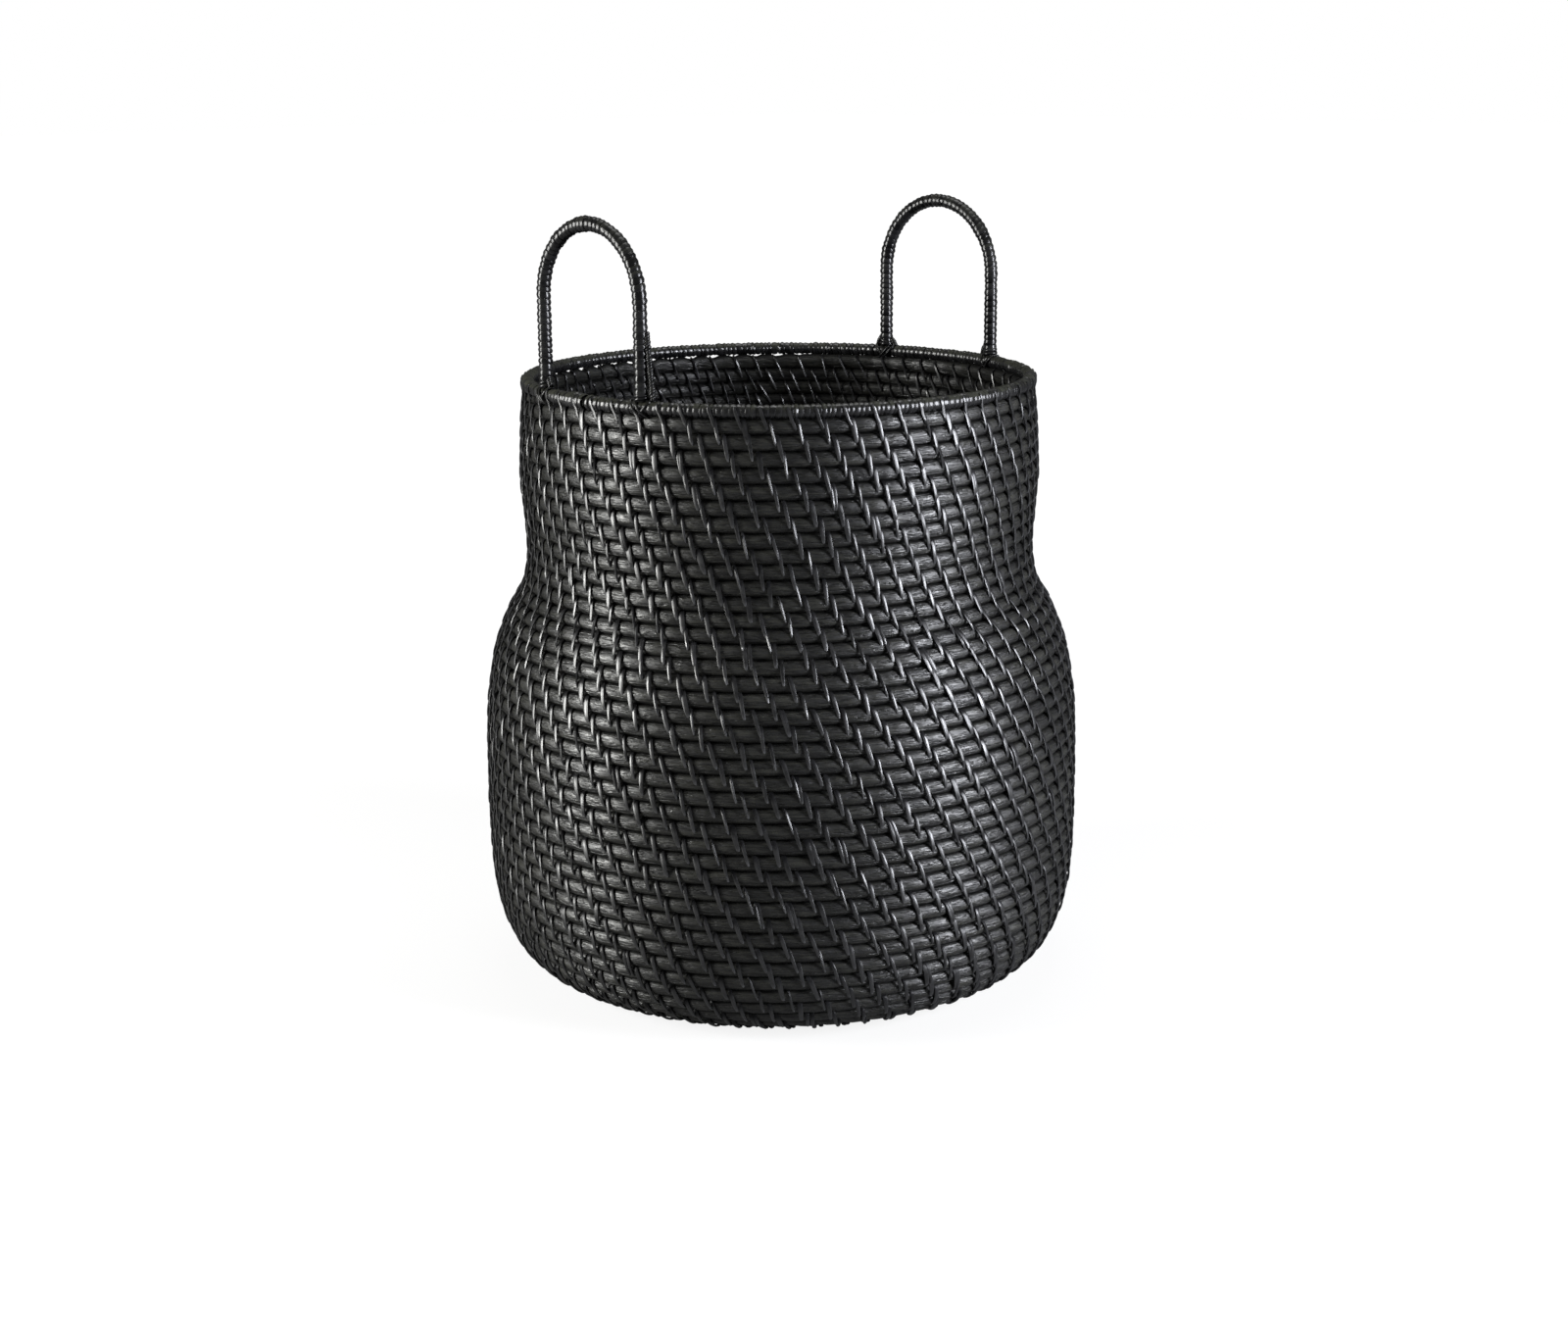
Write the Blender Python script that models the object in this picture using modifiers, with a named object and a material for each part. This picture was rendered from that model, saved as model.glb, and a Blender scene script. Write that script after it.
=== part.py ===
# Belly basket: one long coil of rods climbs from the middle of the base to the rim,
# and two bent-rod handles, bound with split cane, stand on the rim opposite each other.
# Metres, +Z up. The origin is on the floor under the middle of the base, the handles are on +X and -X.
import math

import bmesh
import bpy
from mathutils import Vector

NAME = "belly_basket"

# Outline of the outside of the wall
BASE_RADIUS = 0.130          # the flat that stands on the floor
BELLY_RADIUS = 0.2091
BELLY_HEIGHT = 0.129
WAIST_RADIUS = 0.1763
WAIST_RISE = 0.174           # belly to waist
NECK_SWELL = 0.0033          # waist to the fullest part of the neck, outwards
NECK_RISE = 0.053            # and upwards
MOUTH_DRAW = 0.0034          # from there in again to the wall's outside where it meets the rim
MOUTH_RISE = 0.0611          # and up to the middle of the rim
CORNER_POWER = 3.1           # roundness of the corner between base and belly
# shoulder between belly and waist: share of the rise, share of the narrowing that is still to come
SHOULDER_SHARES = ((0.276, 0.979), (0.552, 0.802), (0.736, 0.460), (0.874, 0.079))
OUTLINE_STEPS = 40           # points along each curved stretch of the outline

# The coiled rods
ROW_PITCH = 0.01058          # from one row to the next, along the wall
ROW_GAP = 0.0005
ROD_DEPTH = 0.0090           # from inside to outside
ROD_FLAT = 0.0040            # width of the face that lies on the row below
BASE_ROD_COUNT = 2           # rods of about 2.5 m, spliced end to end
WALL_ROD_COUNT = 21
COIL_EYE_RADIUS = 0.0028      # the small hole in the middle of the base
POINTS_PER_TURN = 20
JOINT_GAP = 0.0003           # between two rods, end to end
SPLICE_ANGLE = math.pi       # where the coil ends, under the left handle
STEP_SHARE = 0.14            # share of the last turns in which they make their whole climb
TAIL_SHARE = 0.22            # thickness at which the tapered end of the coil stops
TURN = 2 * math.pi

# The bound rim
RIM_OVERHANG = 0.0018        # the rim's centre line stands out past the wall rods' by this much
RIM_ROD_DIAMETER = 0.0066
RIM_SPLICE_GAP = 0.0012      # between the two ends of the rim

# The handles
HANDLE_SPAN = 0.100          # between the centres of the legs
HANDLE_RISE = 0.1131         # centre of the rim to the highest point of the handle's centre line
HANDLE_ROD_DIAMETER = 0.0076
ARCH_POINTS = 13
LEG_POINTS = 2

# Bindings of split cane
BINDING_THICKNESS = 0.0007
BINDING_GAP = 0.0003
LASHING_HEIGHT = 0.009
LASHING_THICKNESS = 0.0011   # at the top of the collar
LASHING_FLARE = 0.0028       # at its foot
LASHING_STEPS = 12
MERGE_DISTANCE = 0.00001

HANDLE_SIDES = {"left": -1, "right": 1}
LEG_SIDES = {"front": -1, "back": 1}

ROD_COLOR = (0.018, 0.018, 0.020)
CANE_COLOR = (0.030, 0.030, 0.032)


def clear_scene():
    for item in list(bpy.data.objects):
        bpy.data.objects.remove(item, do_unlink=True)


def make_collection(name):
    collection = bpy.data.collections.new(name)
    bpy.context.scene.collection.children.link(collection)
    return collection


def make_material(name, color, roughness):
    material = bpy.data.materials.new(name)
    material.use_nodes = True
    shader = material.node_tree.nodes["Principled BSDF"]
    shader.inputs["Base Color"].default_value = (*color, 1)
    shader.inputs["Roughness"].default_value = roughness
    shader.inputs["Metallic"].default_value = 0
    return material


def blend(low, high, share):
    return low + (high - low) * share


def ease(share):
    share = min(max(share, 0), 1)
    return share * share * (3 - 2 * share)


# Outline: the outside of the wall as (radius, height), from the floor up to the mouth

def corner_points():
    points = []
    for step in range(OUTLINE_STEPS):
        angle = math.pi / 2 * step / OUTLINE_STEPS
        out = math.sin(angle) ** (2 / CORNER_POWER)
        down = math.cos(angle) ** (2 / CORNER_POWER)
        points.append((blend(BASE_RADIUS, BELLY_RADIUS, out), BELLY_HEIGHT * (1 - down)))
    return points


def waist_height():
    return BELLY_HEIGHT + WAIST_RISE


def rim_height():
    return waist_height() + NECK_RISE + MOUTH_RISE


def neck_radius():
    return WAIST_RADIUS + NECK_SWELL


def mouth_radius():
    return neck_radius() - MOUTH_DRAW


def rim_radius():
    # centre line of the rim
    return mouth_radius() - ROD_DEPTH / 2 + RIM_OVERHANG


def upper_knots():
    knots = [(BELLY_RADIUS, BELLY_HEIGHT)]
    for rise, width in SHOULDER_SHARES:
        knots.append((blend(WAIST_RADIUS, BELLY_RADIUS, width), BELLY_HEIGHT + WAIST_RISE * rise))
    knots.append((WAIST_RADIUS, waist_height()))
    knots.append((neck_radius(), waist_height() + NECK_RISE))
    knots.append((mouth_radius(), rim_height()))
    return knots


def knot_slopes(knots):
    # radius per height at each knot, zero where the wall turns back, so that no stretch overshoots
    steps = [(b[0] - a[0]) / (b[1] - a[1]) for a, b in zip(knots, knots[1:])]
    slopes = [0]
    for before, after in zip(steps, steps[1:]):
        same_way = before * after > 0
        slopes.append(2 * before * after / (before + after) if same_way else 0)
    slopes.append(steps[-1])
    return slopes


def upper_points():
    knots = upper_knots()
    slopes = knot_slopes(knots)
    points = []
    for number, (low, high) in enumerate(zip(knots, knots[1:])):
        rise = high[1] - low[1]
        for step in range(OUTLINE_STEPS):
            t = step / OUTLINE_STEPS
            radius = (blend(low[0], high[0], t * t * (3 - 2 * t))
                      + rise * slopes[number] * t * (1 - t) ** 2
                      - rise * slopes[number + 1] * t * t * (1 - t))
            points.append((radius, low[1] + rise * t))
    points.append(knots[-1])
    return points


class CoilPath:
    # the line that the rods' centres follow, seen from the side, measured from the middle of the base

    def __init__(self):
        outside = [Vector(point) for point in corner_points() + upper_points()]
        centres = [Vector((0, ROD_DEPTH / 2))]
        centres.append(Vector((BASE_RADIUS, ROD_DEPTH / 2)))
        for before, point, after in zip(outside, outside[1:], outside[2:]):
            along = (after - before).normalized()
            centres.append(point + Vector((-along.y, along.x)) * ROD_DEPTH / 2)
        self.points = centres
        self.reach = [0]
        for low, high in zip(centres, centres[1:]):
            self.reach.append(self.reach[-1] + (high - low).length)

    def place(self, distance):
        for number in range(1, len(self.reach)):
            if self.reach[number] >= distance:
                break
        low, high = self.points[number - 1], self.points[number]
        span = self.reach[number] - self.reach[number - 1]
        share = (distance - self.reach[number - 1]) / span
        return low.lerp(high, share)

    def distance_at(self, height):
        # how far along the line its top part reaches this height
        for number in range(len(self.points) - 1, 0, -1):
            low, high = self.points[number - 1], self.points[number]
            if low.y <= height:
                break
        share = (height - low.y) / (high.y - low.y)
        return blend(self.reach[number - 1], self.reach[number], share)

    def slope(self, distance):
        ahead = self.place(distance + ROW_PITCH / 2)
        behind = self.place(distance - ROW_PITCH / 2)
        return math.atan2(ahead.y - behind.y, ahead.x - behind.x)


def rim_tube_radius():
    return RIM_ROD_DIAMETER / 2 + BINDING_GAP + BINDING_THICKNESS


def handle_tube_radius():
    return HANDLE_ROD_DIAMETER / 2 + BINDING_GAP + BINDING_THICKNESS


# The coil: one entry for each point along all the rods

def coil_points(path):
    first = COIL_EYE_RADIUS + ROW_PITCH / 2
    last = path.distance_at(rim_height() - rim_tube_radius() - ROW_PITCH / 2)
    turns = round((last - first) / ROW_PITCH)
    pitch = (last - first) / turns
    level_from = path.distance_at(waist_height())

    def distance(index):
        turn, step = divmod(index, POINTS_PER_TURN)
        share = step / POINTS_PER_TURN
        level = ease((first + pitch * turn - level_from) / (last - level_from))
        late = ease((share - 1 + STEP_SHARE) / STEP_SHARE)
        if turn >= turns:
            return last + pitch * late / 2 + pitch * (turn - turns)
        return first + pitch * (turn + blend(share, late, level))

    points = []
    for index in range((turns + 1) * POINTS_PER_TURN):
        along = distance(index)
        room = distance(index + POINTS_PER_TURN) - along
        if index >= POINTS_PER_TURN:
            room = min(room, along - distance(index - POINTS_PER_TURN))
        if index >= turns * POINTS_PER_TURN:
            late = ease((index / POINTS_PER_TURN - turns - 1 + STEP_SHARE) / STEP_SHARE)
            room = min(pitch, pitch * (1 - late))
        bend = abs(path.slope(along + pitch / 2) - path.slope(along - pitch / 2))
        width = (room - ROW_GAP - ROD_FLAT * math.tan(bend / 2)) / (pitch - ROW_GAP)
        if width < TAIL_SHARE:
            break
        angle = SPLICE_ANGLE + TURN * index / POINTS_PER_TURN
        place = path.place(along)
        where = Vector((place.x * math.cos(angle), place.x * math.sin(angle), place.y))
        points.append({"where": where, "width": width, "slope": path.slope(along), "along": along})
    return points, pitch


def least_gap(points, pitch):
    gaps = []
    for low, high in zip(points, points[POINTS_PER_TURN:]):
        widths = (low["width"] + high["width"]) / 2 * (pitch - ROW_GAP)
        gaps.append((high["where"] - low["where"]).length - widths)
    return min(gaps)


def rod_section(name, guides, half_width, half_depth, half_flat, lies_flat):
    # six corners: the two faces that meet the neighbours, and a ridge inside and outside
    if lies_flat:
        corners = [(half_width, 0), (half_flat, half_depth), (-half_flat, half_depth),
                   (-half_width, 0), (-half_flat, -half_depth), (half_flat, -half_depth)]
    else:
        corners = [(half_depth, 0), (half_flat, half_width), (-half_flat, half_width),
                   (-half_depth, 0), (-half_flat, -half_width), (half_flat, -half_width)]
    curve = bpy.data.curves.new(name, "CURVE")
    spline = curve.splines.new("POLY")
    spline.points.add(len(corners) - 1)
    spline.use_cyclic_u = True
    for point, (x, y) in zip(spline.points, reversed(corners)):
        point.co = (x, y, 0, 1)
    section = bpy.data.objects.new(name, curve)
    section.hide_render = True
    section.display_type = "WIRE"
    guides.objects.link(section)
    return section


def rod_end(inner, outer, gap):
    # the end of a rod halfway between two points of the coil, so that both rods of a joint end square
    middle = (inner["where"] + outer["where"]) / 2
    back = (inner["where"] - outer["where"]).normalized() * gap / 2
    end = {key: (inner[key] + outer[key]) / 2 for key in ("width", "slope", "along")}
    end["where"] = middle + back
    return end


def rod_entries(points, low, high):
    entries = points[low + 1:high + 1]
    if low == 0:
        entries = [points[0]] + entries
    else:
        entries = [rod_end(points[low + 1], points[low], JOINT_GAP)] + entries
    if high < len(points) - 1:
        entries = entries + [rod_end(points[high], points[high + 1], JOINT_GAP)]
    return entries


def make_rod(name, entries, section, tilted, collection, material):
    curve = bpy.data.curves.new(name, "CURVE")
    curve.dimensions = "3D"
    curve.twist_mode = "Z_UP"
    curve.bevel_mode = "OBJECT"
    curve.bevel_object = section
    curve.use_fill_caps = True
    spline = curve.splines.new("POLY")
    spline.points.add(len(entries) - 1)
    for point, entry in zip(spline.points, entries):
        point.co = (*entry["where"], 1)
        point.radius = entry["width"]
        point.tilt = math.pi / 2 - entry["slope"] if tilted else 0
    curve.materials.append(material)
    rod = bpy.data.objects.new(name, curve)
    collection.objects.link(rod)
    return rod


def split_rods(points):
    # cut the coil into rods of equal length, with one cut where the flat base ends
    base_end = max(index for index, entry in enumerate(points) if entry["along"] <= BASE_RADIUS - ROW_PITCH / 2)
    groups = []
    for kind, rods, low, high in (("base", BASE_ROD_COUNT, 0, base_end),
                                  ("wall", WALL_ROD_COUNT, base_end, len(points) - 1)):
        lengths = [(b["where"] - a["where"]).length for a, b in zip(points[low:high], points[low + 1:high + 1])]
        cuts = [low]
        run = 0
        for index, length in enumerate(lengths):
            run += length
            if run >= sum(lengths) / rods * len(cuts) and len(cuts) < rods:
                cuts.append(low + index + 1)
        cuts.append(high)
        groups.append((kind, cuts))
    return groups


def make_coil(collection, guides, material):
    path = CoilPath()
    points, pitch = coil_points(path)
    half_width = (pitch - ROW_GAP) / 2
    base_section = rod_section("base_rod_section", guides, half_width, ROD_DEPTH / 2, ROD_FLAT / 2, True)
    wall_section = rod_section("wall_rod_section", guides, half_width, ROD_DEPTH / 2, ROD_FLAT / 2, False)
    for kind, cuts in split_rods(points):
        section = base_section if kind == "base" else wall_section
        for number, (low, high) in enumerate(zip(cuts, cuts[1:]), start=1):
            name = "{}_rod_{:02d}".format(kind, number)
            make_rod(name, rod_entries(points, low, high), section, kind == "wall", collection, material)
    print("coil: {:.1f} turns, row pitch {:.2f} mm, least gap between turns {:.2f} mm".format(
        len(points) / POINTS_PER_TURN, pitch * 1000, least_gap(points, pitch) * 1000))


# Tubes and the bindings round them

def make_tube(name, places, radius, sides_level, collection, material, closed_ends=True):
    curve = bpy.data.curves.new(name, "CURVE")
    curve.dimensions = "3D"
    curve.twist_mode = "Z_UP"
    curve.bevel_depth = radius
    curve.bevel_resolution = sides_level
    curve.use_fill_caps = closed_ends
    spline = curve.splines.new("POLY")
    spline.points.add(len(places) - 1)
    for point, place in zip(spline.points, places):
        point.co = (*place, 1)
    curve.materials.append(material)
    tube = bpy.data.objects.new(name, curve)
    collection.objects.link(tube)
    return tube


def make_sleeve(name, places, radius, thickness, sides_level, collection, material):
    # an open tube of this outer radius, thickened inwards
    sleeve = make_tube(name, places, radius, sides_level, collection, material, closed_ends=False)
    wall = sleeve.modifiers.new("thickness", "SOLIDIFY")
    wall.thickness = thickness
    wall.offset = -1
    return sleeve


def rim_places(end_gap):
    places = []
    radius = rim_radius()
    inset = end_gap / 2 / radius
    for step in range(POINTS_PER_TURN + 1):
        angle = SPLICE_ANGLE + blend(inset, TURN - inset, step / POINTS_PER_TURN)
        places.append(Vector((radius * math.cos(angle), radius * math.sin(angle), rim_height())))
    return places


def make_rim(collection, rod_material, cane_material):
    places = rim_places(RIM_SPLICE_GAP)
    make_tube("rim_rod", places, RIM_ROD_DIAMETER / 2, 2, collection, rod_material)
    make_sleeve("rim_binding", places, rim_tube_radius(), BINDING_THICKNESS, 2, collection, cane_material)


def handle_distance():
    # the legs stand on the rim's centre line
    return math.sqrt(rim_radius() ** 2 - (HANDLE_SPAN / 2) ** 2)


def foot_height():
    return rim_height() + rim_tube_radius() + BINDING_GAP


def handle_places(side):
    radius = HANDLE_SPAN / 2
    foot = foot_height()
    spring = rim_height() + HANDLE_RISE - radius
    x = side * handle_distance()
    front = [Vector((x, -radius, blend(foot, spring, step / LEG_POINTS))) for step in range(LEG_POINTS)]
    arch = []
    for step in range(ARCH_POINTS):
        angle = math.pi * step / (ARCH_POINTS - 1)
        arch.append(Vector((x, -radius * math.cos(angle), spring + radius * math.sin(angle))))
    back = [Vector((x, radius, point.z)) for point in reversed(front)]
    return front + arch + back


def make_handle(name, side, collection, rod_material, cane_material):
    places = handle_places(side)
    make_tube(name + "_handle_rod", places, HANDLE_ROD_DIAMETER / 2, 1, collection, rod_material)
    make_sleeve(name + "_handle_binding", places, handle_tube_radius(), BINDING_THICKNESS, 1,
                collection, cane_material)


def make_lashing(name, side, leg, collection, material):
    # a flared collar round the foot of the leg, standing on the rim
    inner = handle_tube_radius() + BINDING_GAP
    profile = ((inner + LASHING_THICKNESS, LASHING_HEIGHT), (inner + LASHING_FLARE, 0), (inner, 0),
               (inner, LASHING_HEIGHT))
    mesh = bpy.data.meshes.new(name)
    shape = bmesh.new()
    corners = [shape.verts.new((radius, 0, height)) for radius, height in profile]
    for corner, following in zip(corners, corners[1:] + corners[:1]):
        shape.edges.new((corner, following))
    shape.to_mesh(mesh)
    shape.free()
    mesh.materials.append(material)
    lashing = bpy.data.objects.new(name, mesh)
    lashing.location = (side * handle_distance(), leg * HANDLE_SPAN / 2, foot_height())
    turned = lashing.modifiers.new("turned", "SCREW")
    turned.steps = LASHING_STEPS
    turned.render_steps = LASHING_STEPS
    turned.use_merge_vertices = True
    turned.merge_threshold = MERGE_DISTANCE
    collection.objects.link(lashing)


def main():
    clear_scene()
    collection = make_collection(NAME)
    guides = make_collection("guides")
    rod_material = make_material("blackened_rod", ROD_COLOR, 0.55)
    cane_material = make_material("blackened_cane", CANE_COLOR, 0.32)
    make_coil(collection, guides, rod_material)
    make_rim(collection, rod_material, cane_material)
    for name, side in HANDLE_SIDES.items():
        make_handle(name, side, collection, rod_material, cane_material)
        for leg_name, leg in LEG_SIDES.items():
            make_lashing("{}_handle_{}_lashing".format(name, leg_name), side, leg, collection, cane_material)


main()
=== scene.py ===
import math
import random

import bpy
import numpy as np
from mathutils import Matrix, Vector


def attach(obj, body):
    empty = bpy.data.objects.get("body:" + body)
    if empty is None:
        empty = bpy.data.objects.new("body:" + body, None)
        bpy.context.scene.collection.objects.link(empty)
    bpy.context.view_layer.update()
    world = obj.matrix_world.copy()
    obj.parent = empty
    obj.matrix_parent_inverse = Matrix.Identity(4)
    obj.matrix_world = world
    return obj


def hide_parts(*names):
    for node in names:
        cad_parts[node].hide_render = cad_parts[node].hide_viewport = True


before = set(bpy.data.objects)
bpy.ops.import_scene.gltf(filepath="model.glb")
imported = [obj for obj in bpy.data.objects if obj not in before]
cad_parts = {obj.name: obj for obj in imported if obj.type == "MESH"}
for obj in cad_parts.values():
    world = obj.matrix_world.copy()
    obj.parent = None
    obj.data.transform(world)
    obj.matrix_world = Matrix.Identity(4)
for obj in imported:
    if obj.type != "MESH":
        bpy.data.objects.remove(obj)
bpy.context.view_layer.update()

mm = 0.001
turn = 2 * math.pi
dice = random.Random(11)
print("frame loaded:", len(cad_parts), "nodes")


def ease(share):
    share = np.clip(share, 0, 1)
    return share * share * (3 - 2 * share)


def seeded(seed):
    return np.random.default_rng(seed)


# the wall seen from the side: the line that the middles of the rods follow, from the middle of the base up

wall = {
    "baseRadius": 130 * mm, "bellyRadius": 209.1 * mm, "bellyHeight": 129 * mm,
    "waistRadius": 176.3 * mm, "waistRise": 174 * mm, "neckSwell": 3.3 * mm, "neckRise": 53 * mm,
    "mouthDraw": 3.4 * mm, "mouthRise": 61.1 * mm, "cornerPower": 3.3, "rodDepth": 9 * mm,
    # share of the rise from belly to waist, share of the narrowing that is still to come
    "shoulderShares": ((0.276, 0.979), (0.552, 0.802), (0.736, 0.460), (0.874, 0.079)),
    # points along each curve, steps past the mouth, the line's even step and how its slope is evened
    "steps": 60, "overrun": 40, "lineStep": 0.5 * mm, "evenBy": 6,
}
waistHeight = wall["bellyHeight"] + wall["waistRise"]
rimHeight = waistHeight + wall["neckRise"] + wall["mouthRise"]
neckRadius = wall["waistRadius"] + wall["neckSwell"]
mouthRadius = neckRadius - wall["mouthDraw"]


def outlinePoints():
    # the outside of the wall: a rounded corner up to the belly, then a smooth curve through the knots
    points = []
    for step in range(wall["steps"]):
        angle = math.pi / 2 * step / wall["steps"]
        out = math.sin(angle) ** (2 / wall["cornerPower"])
        down = math.cos(angle) ** (2 / wall["cornerPower"])
        radius = wall["baseRadius"] + (wall["bellyRadius"] - wall["baseRadius"]) * out
        points.append((radius, wall["bellyHeight"] * (1 - down)))
    knots = [(wall["bellyRadius"], wall["bellyHeight"])]
    for rise, width in wall["shoulderShares"]:
        radius = wall["waistRadius"] + (wall["bellyRadius"] - wall["waistRadius"]) * width
        knots.append((radius, wall["bellyHeight"] + wall["waistRise"] * rise))
    knots += [(wall["waistRadius"], waistHeight), (neckRadius, waistHeight + wall["neckRise"]),
              (mouthRadius, rimHeight)]
    steps = [(b[0] - a[0]) / (b[1] - a[1]) for a, b in zip(knots, knots[1:])]
    slopes = [0] + [2 * a * b / (a + b) if a * b > 0 else 0 for a, b in zip(steps, steps[1:])] + [steps[-1]]
    for number, (low, high) in enumerate(zip(knots, knots[1:])):
        rise = high[1] - low[1]
        for step in range(wall["steps"]):
            t = step / wall["steps"]
            radius = low[0] + (high[0] - low[0]) * t * t * (3 - 2 * t)
            radius += rise * (slopes[number] * t * (1 - t) ** 2 - slopes[number + 1] * t * t * (1 - t))
            points.append((radius, low[1] + rise * t))
    return np.array(points + [knots[-1]])


def middleLine():
    outside = outlinePoints()
    along = outside[2:] - outside[:-2]
    along /= np.linalg.norm(along, axis=1)[:, None]
    inside = outside[1:-1] + np.stack([-along[:, 1], along[:, 0]], 1) * wall["rodDepth"] / 2
    start = np.array([(0, wall["rodDepth"] / 2), (wall["baseRadius"], wall["rodDepth"] / 2)])
    line = np.concatenate([start, inside])
    end = line[-1] + (line[-1] - line[-2]) * wall["overrun"]
    line = np.concatenate([line, end[None]])
    reach = np.concatenate([[0], np.cumsum(np.linalg.norm(np.diff(line, axis=0), axis=1))])
    even = np.arange(0, reach[-1], wall["lineStep"])
    return even, np.interp(even, reach, line[:, 0]), np.interp(even, reach, line[:, 1])


lineReach, lineRadius, lineHeight = middleLine()
lineSlope = np.unwrap(np.arctan2(np.gradient(lineHeight), np.gradient(lineRadius)))
window = np.ones(2 * wall["evenBy"] + 1)
lineSlope = np.convolve(np.pad(lineSlope, wall["evenBy"], mode="edge"), window / len(window), mode="valid")


def onWall(angle, along, out):
    # a point of the wall: its angle, its distance along the middle line, and how far it stands out of it
    slope = np.interp(along, lineReach, lineSlope)
    radius = np.interp(along, lineReach, lineRadius) + out * np.sin(slope)
    height = np.interp(along, lineReach, lineHeight) - out * np.cos(slope)
    return np.stack([radius * np.cos(angle), radius * np.sin(angle), height], -1)


def reachAt(height):
    above = np.nonzero(lineHeight > height)[0][0]
    return float(np.interp(height, lineHeight[above - 1:above + 1], lineReach[above - 1:above + 1]))


# the coil: counted in turns from the middle of the base, one turn a row

coil = {
    "pitch": 10.58 * mm, "eyeRadius": 2.8 * mm, "spliceAngle": math.pi, "stepShare": 0.14,
    "rimTube": 4.3 * mm, "rimOverhang": 1.8 * mm, "baseRods": 2, "wallRods": 21,
    # how far the stitches and the rod go past the whole turns
    "sewnPast": 0.93, "rodPast": 0.955,
    # stitches in a turn, halved inside each of these radii of the base, and how far each one is shifted
    "stitchesPerTurn": 64, "halvings": (100 * mm, 48 * mm, 22 * mm), "halvedBelow": 20 * mm,
    "neckShift": 5.0 * mm, "bellyShift": 7.3 * mm,
}
coilFirst = coil["eyeRadius"] + coil["pitch"] / 2
coilLast = reachAt(rimHeight - coil["rimTube"] - coil["pitch"] / 2)
coilTurns = round((coilLast - coilFirst) / coil["pitch"])
pitch = (coilLast - coilFirst) / coilTurns
levelFrom = reachAt(waistHeight)
rimRadius = mouthRadius - wall["rodDepth"] / 2 + coil["rimOverhang"]


def rowReach(turns):
    # distance along the middle line at this many turns; near the mouth each turn climbs in one late step
    whole = np.floor(turns)
    share = turns - whole
    level = ease((coilFirst + pitch * whole - levelFrom) / (coilLast - levelFrom))
    late = ease((share - 1 + coil["stepShare"]) / coil["stepShare"])
    climb = coilFirst + pitch * (whole + share * (1 - level) + late * level)
    tail = coilLast + pitch * late / 2
    return np.where(turns >= coilTurns, tail, climb)


def angleAt(turns):
    return coil["spliceAngle"] + turn * (turns - np.floor(turns))


def stitchShift(radius):
    # how far round the wall a stitch moves on from row to row
    fullness = np.clip((radius - neckRadius) / (wall["bellyRadius"] - neckRadius), 0, 1)
    return coil["neckShift"] + (coil["bellyShift"] - coil["neckShift"]) * fullness


def stitchTurns():
    # where each stitch is sewn, in turns, and how many are sewn in such a turn
    places = []
    at = 0.0
    while at < coilTurns + coil["sewnPast"]:
        radius = float(np.interp(rowReach(at), lineReach, lineRadius))
        height = float(np.interp(rowReach(at), lineReach, lineHeight))
        count = coil["stitchesPerTurn"]
        for limit in coil["halvings"]:
            if radius < limit and height < coil["halvedBelow"]:
                count /= 2
        places.append((at, count))
        at += (1 - stitchShift(radius) / (turn * radius)) / count
    return places


stitches = stitchTurns()
stitchPlaces = np.array([at for at, count in stitches])
print("coil: {} turns, pitch {:.2f} mm, {} stitches".format(coilTurns, pitch / mm, len(stitches)))


def smoothNoise(values, scale, seed):
    # a slow random wave along the coil, -1 to 1
    knots = seeded(seed).uniform(-1, 1, int(values.max() / scale) + 4)
    where = values / scale
    low = np.floor(where).astype(int)
    share = ease(where - low)
    return knots[low] * (1 - share) + knots[low + 1] * share


# shader maths

class Sock:
    # a socket that adds Math nodes when it is used in a sum

    def __init__(self, tree, socket):
        self.tree = tree
        self.socket = socket

    def output(self, name):
        # another output of the same node
        return Sock(self.tree, self.socket.node.outputs[name])

    def math(self, operation, other, swap=False):
        ends = (other, self) if swap else (self, other)
        return addNode(self.tree, "ShaderNodeMath", {"operation": operation}, ends)

    def __add__(self, other):
        return self.math("ADD", other)

    __radd__ = __add__

    def __mul__(self, other):
        return self.math("MULTIPLY", other)

    __rmul__ = __mul__

    def __sub__(self, other):
        return self.math("SUBTRACT", other)

    def __rsub__(self, other):
        return self.math("SUBTRACT", other, swap=True)


def fillInputs(tree, node, inputs):
    # inputs go by name or by number, and each value is a link or a constant
    pairs = inputs.items() if isinstance(inputs, dict) else enumerate(inputs)
    for name, value in pairs:
        if isinstance(value, Sock):
            tree.links.new(value.socket, node.inputs[name])
        else:
            node.inputs[name].default_value = value


def addNode(tree, kind, settings=None, inputs=(), output=0):
    node = tree.nodes.new(kind)
    for name, value in (settings or {}).items():
        setattr(node, name, value)
    fillInputs(tree, node, inputs)
    return Sock(tree, node.outputs[output])


def newMaterial(name):
    material = bpy.data.materials.new(name)
    material.use_nodes = True
    tree = material.node_tree
    return material, tree, tree.nodes["Principled BSDF"]


def showSurface(tree, shown):
    fillInputs(tree, tree.nodes["Material Output"], {"Surface": shown})


def weigh(parts, shares):
    # the parts added up, each by its share
    total = parts[0] * shares[0]
    for part, share in zip(parts[1:], shares[1:]):
        total = total + part * share
    return total


def remap(tree, value, before, after=(0, 1)):
    settings = {"interpolation_type": "SMOOTHSTEP"}
    inputs = {"Value": value, "From Min": before[0], "From Max": before[1],
              "To Min": after[0], "To Max": after[1]}
    return addNode(tree, "ShaderNodeMapRange", settings, inputs)


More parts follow.
